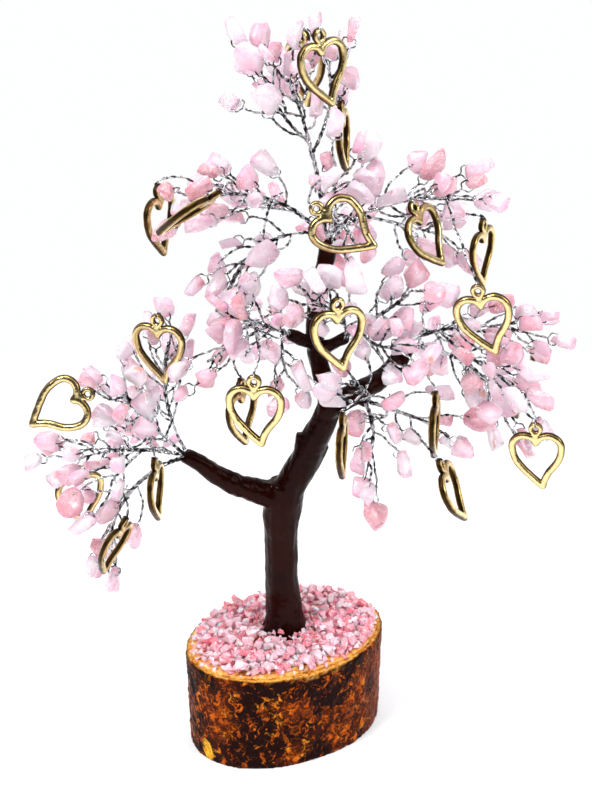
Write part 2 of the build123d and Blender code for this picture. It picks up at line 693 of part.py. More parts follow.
# Steps along a twig that are tested for room, and those beside its own bough, which aren't
stem_steps = 25
foot_steps = 3
chip_pieces = {bough[1]: [] for bough in boughs}
skipped = 0
number = 0
for spray, _, arc, width, bare_share in bough_arcs.values():
    count = round(arc.length * (1 - bare_share) / twig_pitch)
    for index in range(count):
        number += 1
        along_share = bare_share + (1 - bare_share) * (index + 1) / count
        point = arc @ along_share
        along = (arc % along_share).normalized()
        sideways = Plane(origin=(0, 0, 0), z_dir=along).x_dir
        leave_angle = first_leave + (last_leave - first_leave) * (index / count) ** 2
        for attempt in range(twig_tries):
            turn = golden_turn * number + try_turns[attempt % len(try_turns)]
            reach_share = (vary(number, 0) + attempt * try_length_share) % 1.0
            length = shortest_twig + (longest_twig - shortest_twig) * reach_share
            away = sideways.rotate(Axis(origin=(0, 0, 0), direction=along), turn)
            angle = math.radians(leave_angle)
            leave = along * math.cos(angle) + away * math.sin(angle)
            if index == count - 1:
                start = point + leave * (twig_width / 2 + seat_gap)
            else:
                start = point + away * (width / 2 + twig_width / 2 * math.cos(angle) + seat_gap)
            bend = along.rotate(Axis(origin=(0, 0, 0), direction=away), 90 * (vary(number, 1) - 0.5))
            end = start + (leave * 1.6 + bend).normalized() * length
            chord = (end - start).normalized()
            heading = (chord * (2 * chord.dot(leave)) - leave).normalized()
            roll = 360 * (vary(number, 2) + attempt * try_roll_share)
            flat = Plane(origin=(0, 0, 0), z_dir=heading).x_dir
            up = flat.rotate(Axis(origin=(0, 0, 0), direction=heading), roll)
            seat = Plane(origin=end, x_dir=heading, z_dir=up)
            kind = (number + attempt) % len(chips)
            block = placed_block(chip_blanks[kind], seat)
            stop = end - heading * (wire_width / 2 + twig_width / 2 + seat_gap)
            stem_points = arc_between(start, stop, leave, stem_steps)[foot_steps:]
            loop_half = chip_size_shares[kind][2] * chip_thickness / 2 + wire_width / 2 + seat_gap
            loop_points = [
                tuple(end + heading * (chip_hole_inset * run_share) + up * (side * loop_half))
                for run_share in (0, 0.5, 1)
                for side in (-1, 0, 1)
                if side or not run_share
            ]
            if (room.block_fits(block, free_gap)
                    and room.balls_fit(stem_points, twig_width / 2, seat_gap)
                    and room.balls_fit(loop_points, wire_width / 2, seat_gap)):
                break
        else:
            skipped += 1
            continue
        stem, stem_arc = bent_wire(start, stop, leave, twig_width)
        room.take_balls(arc_points(stem_arc, twig_width / 2), twig_width / 2)
        room.blocks.append(block)
        room.take_balls(loop_points, wire_width / 2)
        chip_pieces[spray].append(chips[kind].moved(seat.location))
        twig_pieces[spray].append(stem)
        twig_pieces[spray].append(chip_loops[kind].moved(seat.location))
for spray, pieces in chip_pieces.items():
    gather(f"spray_{spray}_chips", pieces)
    gather(f"spray_{spray}_twigs", twig_pieces[spray])
print("chips", sum(len(pieces) for pieces in chip_pieces.values()), "left out for want of room", skipped)
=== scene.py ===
import json
import math
import random

import bmesh
import bpy
import numpy as np
from bpy.props import FloatProperty, FloatVectorProperty, IntProperty, PointerProperty
from mathutils import Euler, Matrix, Vector, noise


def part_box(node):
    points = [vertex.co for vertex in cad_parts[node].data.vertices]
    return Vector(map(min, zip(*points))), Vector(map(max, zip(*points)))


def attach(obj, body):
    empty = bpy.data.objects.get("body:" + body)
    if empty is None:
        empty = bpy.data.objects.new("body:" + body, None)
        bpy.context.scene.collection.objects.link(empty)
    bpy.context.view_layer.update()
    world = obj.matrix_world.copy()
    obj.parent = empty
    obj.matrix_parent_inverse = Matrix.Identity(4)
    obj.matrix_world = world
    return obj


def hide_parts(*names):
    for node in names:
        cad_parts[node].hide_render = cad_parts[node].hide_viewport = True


bl_info = {
    "name": "Gemstone tree ornament",
    "version": (1, 0, 0),
    "blender": (4, 5, 0),
    "location": "3D View > Sidebar > Gemstone tree",
    "description": "Dresses the gemstone tree: chips, wires, coated trunk, bark slice and brass hearts",
    "category": "Object",
}

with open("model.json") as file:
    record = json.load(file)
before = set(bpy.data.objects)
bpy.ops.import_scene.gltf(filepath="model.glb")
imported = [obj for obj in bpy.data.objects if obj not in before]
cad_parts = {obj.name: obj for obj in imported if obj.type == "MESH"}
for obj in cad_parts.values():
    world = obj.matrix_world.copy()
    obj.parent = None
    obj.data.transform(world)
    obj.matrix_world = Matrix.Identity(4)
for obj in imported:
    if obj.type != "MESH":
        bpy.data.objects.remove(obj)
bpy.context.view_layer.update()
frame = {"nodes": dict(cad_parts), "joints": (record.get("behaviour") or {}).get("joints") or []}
nodes = frame["nodes"]
sprays = sorted(name[:-6] for name in nodes if name.endswith("_chips"))
heart_names = sorted(name for name in nodes if name.startswith("heart_"))
mm = 0.001

# Wires. A root is how many millimetres its first points lie inside what the wires grow from.
# The bend is a wire's way round one side of a chip or eye, in half lengths of its loop.
weld_distance = 1e-6         # corners of a CAD mesh that are this near are one
rim_angle = 0.8              # radians; the edge round a wire's flat end is sharper
fork_height = 0.17           # the boughs' roots gather round the trunk near this height
twist_points = 7             # points along a wire in each full twist
kink_pace = 180              # how closely the kinks follow each other along a twig
kink_seed = 7                # with these kinks no twig touches a heart that swings
pair_width = 0.55 * mm       # a bough has one pair of wires for each of these in its width
twig_root = (1.1, 0.55)
bough_root = (3.0, 2.2, 1.5, 0.7)
loop_bend = ((-1.15, 0.42), (-0.95, 0.78), (-0.65, 0.97), (-0.1, 1.0),
             (0.45, 1.0), (0.76, 0.95), (0.95, 0.74), (1.02, 0.35))

# Slice of branch and its gravel
bark_depth = 3.2 * mm        # thickness of the bark
rim_heights = (0.0388, 0.0398)       # the golden cut edge sets in between these
red_side = (0.030, 0.038)            # and the redder bark between these, across
scar = (-0.0306, -0.0275, 0.0030)
golden_turn = 2.39996        # radians; stones laid at this turn spread evenly
foot_reach = 8.4 * mm        # the small stones' middles stay this far from the trunk's
heap_span = (9.0, 12.0)      # mm from the trunk's middle to the stones heaped against it

# Name, place, size and power of each lamp
lamps = (("key", (-0.55, -0.55, 0.95), 0.28, 8.0), ("side", (0.75, -0.35, 0.65), 0.5, 4.3),
         ("back", (0.1, 0.8, 0.9), 0.6, 4.3), ("spark", (-0.15, -0.12, 1.1), 0.09, 2.8))
lamp_target = (0, 0, 0.13)
camera_across = 0.0045       # how far the camera stands to the right of the trunk


# Meshes

def merged_copy(node):
    """A node's triangles joined into closed surfaces"""
    mesh = bmesh.new()
    mesh.from_mesh(nodes[node].data)
    bmesh.ops.remove_doubles(mesh, verts=mesh.verts[:], dist=weld_distance)
    return mesh


def loose_parts(mesh):
    """The vertices of each closed surface in turn"""
    seen = set()
    for first in mesh.verts:
        if first in seen:
            continue
        seen.add(first)
        part = [first]
        for vert in part:
            for edge in vert.link_edges:
                for other in edge.verts:
                    if other not in seen:
                        seen.add(other)
                        part.append(other)
        yield part


def middle_of(verts):
    return sum((vert.co for vert in verts), Vector()) / len(verts)


def linked(name, data):
    """An object for some data, in the scene's own collection"""
    made = bpy.data.objects.new(name, data)
    bpy.context.scene.collection.objects.link(made)
    return made


def new_piece(name, data, body, material, stands_for):
    """An object at the origin that rides on a body and stands for a CAD node"""
    piece = linked(name, data)
    piece.data.materials.append(material)
    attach(piece, body)
    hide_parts(stands_for)


def evaluated_mesh(data, name, change=None):
    """The mesh of a curve or of a mesh with a modifier on it"""
    carrier = linked(name, data)
    if change:
        change(carrier)
    bpy.context.view_layer.update()
    graph = bpy.context.evaluated_depsgraph_get()
    made = bpy.data.meshes.new_from_object(carrier.evaluated_get(graph))
    bpy.data.objects.remove(carrier)
    made.name = name
    for face in made.polygons:
        face.use_smooth = True
    return made


def remeshed(mesh, name, voxel):
    """A closed surface of even small faces round a mesh, which is used up"""
    def add_remesh(carrier):
        modifier = carrier.modifiers.new("even", "REMESH")
        modifier.mode = "VOXEL"
        modifier.voxel_size = voxel
        modifier.use_smooth_shade = True

    return evaluated_mesh(finished(mesh, name), name, add_remesh)


def reshaped(data, move, smooth_rounds, layer=None, value=None):
    """Smooths a mesh and moves each vertex along its normal; value fills a vertex attribute"""
    mesh = bmesh.new()
    mesh.from_mesh(data)
    for _ in range(smooth_rounds):
        bmesh.ops.smooth_vert(mesh, verts=mesh.verts[:], factor=0.5,
                              use_axis_x=True, use_axis_y=True, use_axis_z=True)
    mesh.normal_update()
    for vert, step in [(vert, move(vert.co, vert.normal)) for vert in mesh.verts]:
        vert.co += vert.normal * step
    mesh.normal_update()
    if layer:
        shade = mesh.verts.layers.float.new(layer)
        for vert in mesh.verts:
            vert[shade] = value(vert.co, vert.normal)
    for face in mesh.faces:
        face.smooth = True
    mesh.to_mesh(data)
    mesh.free()


def hull_stone(points, flat_angle):
    """A closed lump with flat faces round some points"""
    stone = bmesh.new()
    for point in points:
        stone.verts.new(point)
    hull = bmesh.ops.convex_hull(stone, input=stone.verts[:])
    spare = {part for part in hull["geom_interior"] + hull["geom_unused"]
             if isinstance(part, bmesh.types.BMVert)}
    bmesh.ops.delete(stone, geom=list(spare), context="VERTS")
    bmesh.ops.dissolve_limit(stone, angle_limit=math.radians(flat_angle),
                             verts=stone.verts[:], edges=stone.edges[:])
    bmesh.ops.recalc_face_normals(stone, faces=stone.faces[:])
    return stone


def stone_mesh():
    """An empty mesh for many stones, with a tone and a rim value for each vertex"""
    mesh = bmesh.new()
    for layer in ("tone", "rim"):
        mesh.verts.layers.float.new(layer)
    return mesh


def finished(mesh, name):
    """The data of a mesh in work, which is used up"""
    data = bpy.data.meshes.new(name)
    mesh.to_mesh(data)
    mesh.free()
    return data


def take_in(mesh, stone, tone, smooth):
    """Adds a stone to a mesh of many, with its tone on every vertex"""
    before = len(mesh.verts)
    for face in stone.faces:
        face.smooth = smooth
    carrier = finished(stone, "stone")
    mesh.from_mesh(carrier)
    bpy.data.meshes.remove(carrier)
    mesh.verts.ensure_lookup_table()
    layer, rim = mesh.verts.layers.float["tone"], mesh.verts.layers.float["rim"]
    added = mesh.verts[before:]
    middle = middle_of(added)
    reach = max((vert.co - middle).length for vert in added)
    for vert in added:
        vert[layer] = tone
        # The rim value grows towards a stone's outside; the quartz material paints shade there
        vert[rim] = ((vert.co - middle).length / reach) ** 1.5


# Materials

def new_material(name):
    material = bpy.data.materials.new(name)
    material.use_nodes = True
    return material.node_tree, material.node_tree.nodes["Principled BSDF"], material


def put(tree, kind, inputs=None, **settings):
    """A shader node with its settings and inputs, each a value or another node's output"""
    made = tree.nodes.new(kind)
    for key, value in settings.items():
        setattr(made, key, value)
    for key, value in (inputs or {}).items():
        if isinstance(value, bpy.types.NodeSocket):
            tree.links.new(value, made.inputs[key])
        else:
            made.inputs[key].default_value = value
    return made


def ramp(tree, factor, *stops):
    """Colours or greys at places from 0 to 1"""
    made = put(tree, "ShaderNodeValToRGB", {"Fac": factor})
    bands = made.color_ramp.elements
    for index, (place, _) in enumerate(stops):
        if index > 1:
            bands.new(place)
        bands[index].position = place
    for index, (_, colour) in enumerate(stops):
        grey = isinstance(colour, (int, float))
        bands[index].color = (colour, colour, colour, 1) if grey else (*colour, 1)
    return made.outputs["Color"]


def mix(tree, factor, first, second, blend="MIX"):
    made = put(tree, "ShaderNodeMix", data_type="RGBA", blend_type=blend)
    for key, value in ((0, factor), (6, first), (7, second)):
        if isinstance(value, bpy.types.NodeSocket):
            tree.links.new(value, made.inputs[key])
        elif key == 0:
            made.inputs[key].default_value = value
        else:
            made.inputs[key].default_value = (*value, 1)
    return made.outputs[2]


def maths(tree, operation, first, second):
    return put(tree, "ShaderNodeMath", {0: first, 1: second}, operation=operation).outputs[0]


def spots(tree, place, scale, detail=4.0, rough=0.55, bend=0.0):
    made = put(tree, "ShaderNodeTexNoise",
               {"Vector": place, "Scale": scale, "Detail": detail, "Roughness": rough, "Distortion": bend})
    return made.outputs["Fac"]


def painted(tree, layer):
    """A value that the mesh keeps for each vertex"""
    return put(tree, "ShaderNodeAttribute", attribute_name=layer).outputs["Fac"]


def stirred(tree, level, cloud, amount):
    """A level that a noise raises and lowers"""
    return maths(tree, "ADD", level, maths(tree, "MULTIPLY", maths(tree, "SUBTRACT", cloud, 0.5), amount))


def between(tree, value, span):
    """0 up to the span, 1 beyond it"""
    return put(tree, "ShaderNodeMapRange",
               {"Value": value, "From Min": span[0], "From Max": span[1]}).outputs[0]


def parted(tree, vector):
    """X, Y and Z of a vector"""
    return put(tree, "ShaderNodeSeparateXYZ", {0: vector}).outputs


def bumped(tree, shader, height, depth, strength):
    bump = put(tree, "ShaderNodeBump", {"Height": height, "Distance": depth, "Strength": strength})
    tree.links.new(bump.outputs["Normal"], shader.inputs["Normal"])


def join(tree, source, shader, socket):
    tree.links.new(source, shader.inputs[socket])


def object_place(tree):
    return put(tree, "ShaderNodeTexCoord").outputs["Object"]


def stretched(tree, place, scale):
    return put(tree, "ShaderNodeMapping", {"Vector": place, "Scale": scale}).outputs[0]


def quartz_material(name, pale, mid, deep, crushed):
    """Milky rose quartz: tone per stone, cloudy veils, fine cracks, and painted shade that deepens the colour
    towards each stone's rim
    """
    tree, shader, material = new_material(name)
    place = object_place(tree)
    tone, rim = painted(tree, "tone"), painted(tree, "rim")
    clouds = spots(tree, place, 240, 5, 0.6, 0.6)
    veils = spots(tree, place, 560, 4, 0.7, 1.6)
    colour = ramp(tree, stirred(tree, tone, clouds, 1.1), (0.0, pale), (0.5, mid), (1.0, deep))
    colour = mix(tree, ramp(tree, veils, (0.50, 0.0), (0.66, 0.85)), colour, (1.0, 0.95, 0.97))
    cracks = put(tree, "ShaderNodeTexVoronoi", {"Vector": place, "Scale": 260.0},
                 feature="DISTANCE_TO_EDGE").outputs["Distance"]
    colour = mix(tree, ramp(tree, cracks, (0.0, 0.5), (0.03, 0.0)), colour, (0.97, 0.56, 0.66))
    iron = ramp(tree, spots(tree, place, 135, 3, 0.6, 0.5), (0.66, 0.0), (0.72, 0.75))
    colour = mix(tree, iron, colour, (0.86, 0.36, 0.16))
    # Painted shade: towards each stone's rim the colour is multiplied darker, standing in for the darker
    # edges of translucent stone
    rim_shade = mix(tree, ramp(tree, clouds, (0.4, 0.0), (0.6, 1.0)), (0.96, 0.58, 0.76), (0.92, 0.62, 0.60))
    colour = mix(tree, ramp(tree, rim, (0.62, 0.0), (0.98, 0.8)), colour, rim_shade, "MULTIPLY")
    join(tree, colour, shader, "Base Color")
    join(tree, ramp(tree, clouds, (0.3, 0.10), (0.7, 0.32)), shader, "Roughness")
    shader.inputs["IOR"].default_value = 1.54
    shader.inputs["Transmission Weight"].default_value = 0.2 if crushed else 0.42
    shader.inputs["Subsurface Weight"].default_value = 0.8
    shader.inputs["Subsurface Radius"].default_value = (1.0, 0.6, 0.68)
    shader.inputs["Subsurface Scale"].default_value = 1.0 * mm if crushed else 2.2 * mm
    dents = maths(tree, "ADD", spots(tree, place, 420, 3, 0.5), maths(tree, "MULTIPLY", cracks, 0.5))
    bumped(tree, shader, dents, 0.4 * mm, 0.7)
    return material


def silver_material(name, colour):
    """Tinned wire: bright, with dark beads painted in noise patches as shade, standing in for where the twist
    turns away from the light
    """
    tree, shader, material = new_material(name)
    place = object_place(tree)
    bead_shade = spots(tree, place, 480, 3)
    # Painted shade: the dark patches in the base colour stand in for the shaded turns of the twisted wire
    join(tree, ramp(tree, bead_shade, (0.46, (0.012, 0.012, 0.013)), (0.53, colour)), shader, "Base Color")
    join(tree, ramp(tree, bead_shade, (0.35, 0.3), (0.65, 0.14)), shader, "Roughness")
    shader.inputs["Metallic"].default_value = 1.0
    bumped(tree, shader, spots(tree, stretched(tree, place, (1, 1, 0.3)), 1500, 2), 0.05 * mm, 0.5)
    return material


def tinned_wire(sizes):
    """The one material of twigs and boughs"""
    return bpy.data.materials.get("tinned_wire") or silver_material("tinned_wire", sizes.colour)


def coating_material(name, dark, warm):
    """Brown coating over the bundle of wires: near-black and glossy, warmer in patches"""
    tree, shader, material = new_material(name)
    place = object_place(tree)
    patches = spots(tree, place, 60, 4)
    join(tree, ramp(tree, patches, (0.35, dark), (0.7, warm)), shader, "Base Color")
    join(tree, ramp(tree, spots(tree, place, 120, 3), (0.35, 0.16), (0.7, 0.34)), shader, "Roughness")
    shader.inputs["Specular IOR Level"].default_value = 0.04
    shader.inputs["Specular Tint"].default_value = (1.0, 0.4, 0.3, 1)
    shader.inputs["Coat Weight"].default_value = 0.085
    shader.inputs["Coat Roughness"].default_value = 0.09
    ridges = spots(tree, stretched(tree, place, (1, 1, 0.22)), 420, 3, 0.6, 0.4)
    bumped(tree, shader, ridges, 0.35 * mm, 0.5)
    return material


def bark_material(name, dark, brown, orange, rim):
    """Varnished bark: near-black with curled orange flakes, their orange partly their own colour and partly a
    painted highlight on the varnish, and a golden cut edge on top
    """
    tree, shader, material = new_material(name)
    place = object_place(tree)
    inside = painted(tree, "inside")
    bend = put(tree, "ShaderNodeTexNoise", {"Vector": place, "Scale": 210.0, "Detail": 3.0}).outputs["Color"]
    shift = put(tree, "ShaderNodeVectorMath", {0: bend, 1: (0.5, 0.5, 0.5)}, operation="SUBTRACT").outputs[0]
    shift = put(tree, "ShaderNodeVectorMath", {0: shift, "Scale": 0.007}, operation="SCALE").outputs[0]
    warped = put(tree, "ShaderNodeVectorMath", {0: place, 1: shift}, operation="ADD").outputs[0]
    patches = spots(tree, place, 60, 3, 0.6)
    curls = spots(tree, stretched(tree, warped, (1, 1, 0.8)), 300, 4, 0.6, 1.4)
    chips = spots(tree, stretched(tree, warped, (1, 1, 0.7)), 520, 3, 0.6, 0.8)
    body = mix(tree, ramp(tree, patches, (0.47, 0.0), (0.66, 1.0)), dark, brown)
    cover = ramp(tree, stirred(tree, curls, patches, 0.45), (0.515, 0.0), (0.575, 1.0))
    # Painted highlight: the flakes' orange stands partly for the flakes' own colour and partly for light
    # caught on the varnish
    flake_and_highlight_mask = mix(tree, 1.0, cover, ramp(tree, chips, (0.42, 0.1), (0.54, 1.0)), "MULTIPLY")
    flake_and_highlight_colour = ramp(tree, spots(tree, place, 190, 3),
                (0.38, (0.30, 0.055, 0.008)), (0.54, orange), (0.74, (0.86, 0.33, 0.03)))
    colour = mix(tree, flake_and_highlight_mask, body, flake_and_highlight_colour)
    # Streaked redder bark on the slice's right side, and one pale scar low on its left
    right = between(tree, parted(tree, place)["X"], red_side)
    streaks = ramp(tree, spots(tree, stretched(tree, place, (1, 1, 0.18)), 300, 3),
                   (0.42, brown), (0.6, (0.30, 0.055, 0.012)))
    colour = mix(tree, maths(tree, "MULTIPLY", right, 0.75), colour, streaks)
    away = put(tree, "ShaderNodeVectorMath", {0: stretched(tree, warped, (1, 1, 0.6)), 1: scar},
               operation="DISTANCE").outputs["Value"]
    colour = mix(tree, ramp(tree, maths(tree, "MULTIPLY", away, 100), (0.25, 1.0), (0.33, 0.0)), colour,
                 ramp(tree, chips, (0.4, (0.55, 0.15, 0.008)), (0.55, (0.98, 0.55, 0.04))))
    edge = between(tree, parted(tree, warped)["Z"], rim_heights)
    cut = mix(tree, 1.0, edge, ramp(tree, inside, (0.1, 0.0), (0.35, 1.0)), "MULTIPLY")
    grain = ramp(tree, curls, (0.36, (0.36, 0.10, 0.012)), (0.48, rim), (0.66, (0.98, 0.66, 0.26)))
    colour = mix(tree, cut, colour, grain)
    join(tree, colour, shader, "Base Color")
    join(tree, ramp(tree, curls, (0.4, 0.5), (0.62, 0.28)), shader, "Roughness")
    shader.inputs["Specular IOR Level"].default_value = 0.04
    shader.inputs["Specular Tint"].default_value = (1.0, 0.4, 0.2, 1)
    relief = maths(tree, "ADD", maths(tree, "MULTIPLY", flake_and_highlight_mask, 0.6), curls)
    bumped(tree, shader, relief, 0.9 * mm, 0.9)
    return material


def wood_material(name, pale, ring):
    """End grain: growth rings, rays and saw marks"""
    tree, shader, material = new_material(name)
    place = object_place(tree)
    flat = stretched(tree, place, (1.0, 1.3, 0.05))
    rings = put(tree, "ShaderNodeTexWave",
                {"Vector": flat, "Scale": 150.0, "Distortion": 3.0, "Detail": 3.0, "Detail Scale": 1.2},
                wave_type="RINGS", rings_direction="Z").outputs["Fac"]
    colour = ramp(tree, rings, (0.1, ring), (0.6, pale))
    stains = ramp(tree, spots(tree, place, 90, 5), (0.45, 0.0), (0.7, 0.5))
    colour = mix(tree, stains, colour, (0.36, 0.20, 0.09))
    join(tree, colour, shader, "Base Color")
    shader.inputs["Roughness"].default_value = 0.72
    saw = spots(tree, stretched(tree, place, (1, 0.06, 1)), 900, 2)
    bumped(tree, shader, maths(tree, "ADD", rings, saw), 0.2 * mm, 0.6)
    return material


def glue_material(name, colour):
    tree, shader, material = new_material(name)
    place = object_place(tree)
    join(tree, ramp(tree, spots(tree, place, 420, 4, 0.6, 0.6), (0.36, (0.30, 0.08, 0.012)), (0.5, colour),
                    (0.68, (0.95, 0.62, 0.22))), shader, "Base Color")
    shader.inputs["Roughness"].default_value = 0.12
    shader.inputs["Coat Weight"].default_value = 0.6
    bumped(tree, shader, spots(tree, place, 300, 3), 0.5 * mm, 0.6)
    return material


def brass_material(name, bright, worn, patina):
    """Antique brass: bright on the broad faces and dark on the sides; partly the wear of polishing, partly a
    painted highlight on the faces and painted shade on the sides
    """
    tree, shader, material = new_material(name)
    place = object_place(tree)
    # The wear value, from how far a face turns to the heart's front or back, also paints a highlight there
    # and shade on the bar's sides
    level = stirred(tree, painted(tree, "wear"), spots(tree, place, 420, 5, 0.6), 0.7)
    join(tree, ramp(tree, level, (0.28, patina), (0.6, worn), (0.95, bright)), shader, "Base Color")
    join(tree, ramp(tree, level, (0.2, 0.42), (0.8, 0.2)), shader, "Roughness")
    shader.inputs["Metallic"].default_value = 1.0
    bumped(tree, shader, spots(tree, place, 900, 4, 0.6), 0.12 * mm, 0.6)
    return material


# Lines of the wires

def end_rings(part):
    """Middle, direction into the wire, and radius of each flat end of a wire"""
    middle = middle_of(part)
    seen, rings = set(), []
    for first in part:
        # Sharp edges lead round the rim of a flat end and back to the first corner
        ring = [first]
        for vert in ring:
            for edge in vert.link_edges:
                other = edge.other_vert(vert)
                if other not in seen and edge.calc_face_angle(0.0) > rim_angle:
                    seen.add(other)
                    ring.append(other)
        if len(ring) > 2:
            points = np.array([vert.co for vert in ring[1:]])
            centre = points.mean(axis=0)
            inward = Vector(np.linalg.svd(points - centre)[2][2])
            if (middle - Vector(centre)).dot(inward) < 0:
                inward.negate()
            rings.append((Vector(centre), inward, float(np.linalg.norm(points - centre, axis=1).mean())))
    return rings


def plain_stems(node):
    """A node's open wires as foot, direction, end, direction and width, and its closed loops' points"""
    mesh = merged_copy(node)
    stems, loops = [], []
    for part in loose_parts(mesh):
        edges = {edge for vert in part for edge in vert.link_edges}
        faces = {face for vert in part for face in vert.link_faces}
        # A closed ring, unlike a rod, has as many edges as corners and faces together
        if len(part) + len(faces) == len(edges):
            loops.append(np.array([vert.co for vert in part]))
            continue
        (foot, along, radius), (end, back, _) = end_rings(part)
        stems.append((foot, along, end, back, 2 * radius))
    mesh.free()
    return stems, loops


def from_fork(place):
    """How far a place lies from the fork, outwards and in height"""
    return math.hypot(place.x, place.y) + abs(place.z - fork_height)


def arc_frames(foot, along, end, step):
    """Places at even steps along the arc that leaves foot in one direction and reaches end

    Each comes with the arc's direction there and the side towards which it bends."""
    chord = end - foot
    along = along.normalized()
    aside = chord - along * chord.dot(along)
    count = max(3, math.ceil(chord.length / step))
    if aside.length < 1e-7:
        side = along.orthogonal().normalized()
        return [(foot + chord * (index / count), along, side) for index in range(count + 1)]
    lift = aside.normalized()
    half_turn = math.atan2(aside.length, chord.dot(along))
    radius = chord.length / (2 * math.sin(half_turn))
    frames = []
    for index in range(count + 1):
        turn = 2 * half_turn * index / count
        spot = foot + along * (radius * math.sin(turn)) + lift * (radius * (1 - math.cos(turn)))
        heading = along * math.cos(turn) + lift * math.sin(turn)
        side = lift * math.cos(turn) - along * math.sin(turn)
        frames.append((spot, heading, side))
    return frames


def strand(frames, radius, phase, lay):
    """A wire that winds round a line, once in each lay"""
    points = []
    travel = 0.0
    before = frames[0][0]
    for index, (spot, heading, side) in enumerate(frames):
        travel += (spot - before).length
        before = spot
        turn = phase + 2 * math.pi * travel / lay
        reach = radius(index / (len(frames) - 1))
        points.append(spot + (side * math.cos(turn) + heading.cross(side) * math.sin(turn)) * reach)
    return points


def wire_mesh(name, lines, width):
    """Wires along lines of points, with as few sides as look round at their size"""
    curve = bpy.data.curves.new(name, "CURVE")
    curve.dimensions = "3D"
    curve.bevel_depth = width / 2
    curve.bevel_resolution = 0
    curve.use_fill_caps = True
    for line in lines:
        spline = curve.splines.new("POLY")
        spline.points.add(len(line) - 1)
        spline.points.foreach_set("co", [value for point in line for value in (*point, 1.0)])
    made = evaluated_mesh(curve, name)
    bpy.data.curves.remove(curve)
    return made


def loop_frame(points, foot):
    """Middle, direction from foot, across, and half lengths of a closed loop of wire"""
    middle = (points.min(axis=0) + points.max(axis=0)) / 2
    for _ in range(3):
        spread = points - middle
        _, axes = np.linalg.eigh(spread.T @ spread)
        level = axes[:, 0]
        ahead = middle - np.array(foot)
        ahead = ahead - level * (ahead @ level)
        ahead /= np.linalg.norm(ahead)
        across = np.cross(level, ahead)
        run, rise = spread @ ahead, spread @ across
        middle = middle + ahead * (run.min() + run.max()) / 2 + across * (rise.min() + rise.max()) / 2
    half_run, half_rise = (run.max() - run.min()) / 2, (rise.max() - rise.min()) / 2
    return Vector(middle), Vector(ahead), Vector(across), half_run, half_rise


def matched_loops(stems, loops):
    """For each stem, the loop that its outer end belongs to, and the stem turned to end there"""
    middles = [(points.min(axis=0) + points.max(axis=0)) / 2 for points in loops]
    options = []
    for number, (foot, _, end, _, _) in enumerate(stems):
        for index, middle in enumerate(middles):
            spot = Vector(middle)
            options.append(((foot - spot).length, number, index, True))
            options.append(((end - spot).length, number, index, False))
    options.sort()
    taken, used, pairs = set(), set(), []
    for _, number, index, turned in options:
        if number in taken or index in used:
            continue
        taken.add(number)
        used.add(index)
        foot, along, end, back, _ = stems[number]
        pairs.append((end, back, foot, index) if turned else (foot, along, end, index))
    return pairs


# Pieces

class ChipSettings(bpy.types.PropertyGroup):
    growth: FloatProperty(name="Growth", description="Size of a chip before its edges are worn round",
                          default=1.14)
    roundness: FloatProperty(name="Roundness", description="Width of the worn edges of a chip",
                             default=1.0 * mm, unit="LENGTH", subtype="DISTANCE")
    unevenness: FloatProperty(name="Unevenness", description="Depth of the dents in a chip",
                              default=0.55 * mm, unit="LENGTH", subtype="DISTANCE")
    taper: FloatProperty(name="Taper", subtype="FACTOR", default=0.45,
                         description="Share of its thickness that a chip loses towards one side")
    pale: FloatVectorProperty(name="Pale", description="Palest rose quartz", subtype="COLOR",
                              default=(1.0, 0.88, 0.95))
    pink: FloatVectorProperty(name="Pink", description="Common rose quartz", subtype="COLOR",
                              default=(1.0, 0.70, 0.81))
    mauve: FloatVectorProperty(name="Mauve", description="Deepest rose quartz", subtype="COLOR",
                               default=(0.80, 0.44, 0.49))


class WireSettings(bpy.types.PropertyGroup):
    width: FloatProperty(name="Wire", description="Diameter of the wire", default=0.54 * mm,
                         unit="LENGTH", subtype="DISTANCE")
    lay: FloatProperty(name="Lay", description="Length of a full twist of a twig's two wires",
                       default=5.8 * mm, unit="LENGTH", subtype="DISTANCE")
    kink: FloatProperty(name="Kink", description="How far a twig strays from its arc", default=0.9 * mm,
                        unit="LENGTH", subtype="DISTANCE")
    bough_lay: FloatProperty(name="Bough lay", description="Length of a full twist of a bough's pairs",
                             default=42 * mm, unit="LENGTH", subtype="DISTANCE")
    colour: FloatVectorProperty(name="Silver", description="Colour of the bright wire", subtype="COLOR",
                                default=(0.66, 0.68, 0.70))


class TrunkSettings(bpy.types.PropertyGroup):
    voxel: FloatProperty(name="Detail", description="Size of the coating's faces", default=0.62 * mm,
                         unit="LENGTH", subtype="DISTANCE")
    lumps: FloatProperty(name="Lumps", description="Height of the lumps in the coating", default=0.5 * mm,
                         unit="LENGTH", subtype="DISTANCE")
    ridges: FloatProperty(name="Ridges", description="Height of the ridges that the wires inside leave",
                          default=0.32 * mm, unit="LENGTH", subtype="DISTANCE")
    dark: FloatVectorProperty(name="Dark", description="Darkest brown", subtype="COLOR",
                              default=(0.0055, 0.0008, 0.0004))
    warm: FloatVectorProperty(name="Warm", description="Warmest brown", subtype="COLOR",
                              default=(0.016, 0.0026, 0.0013))


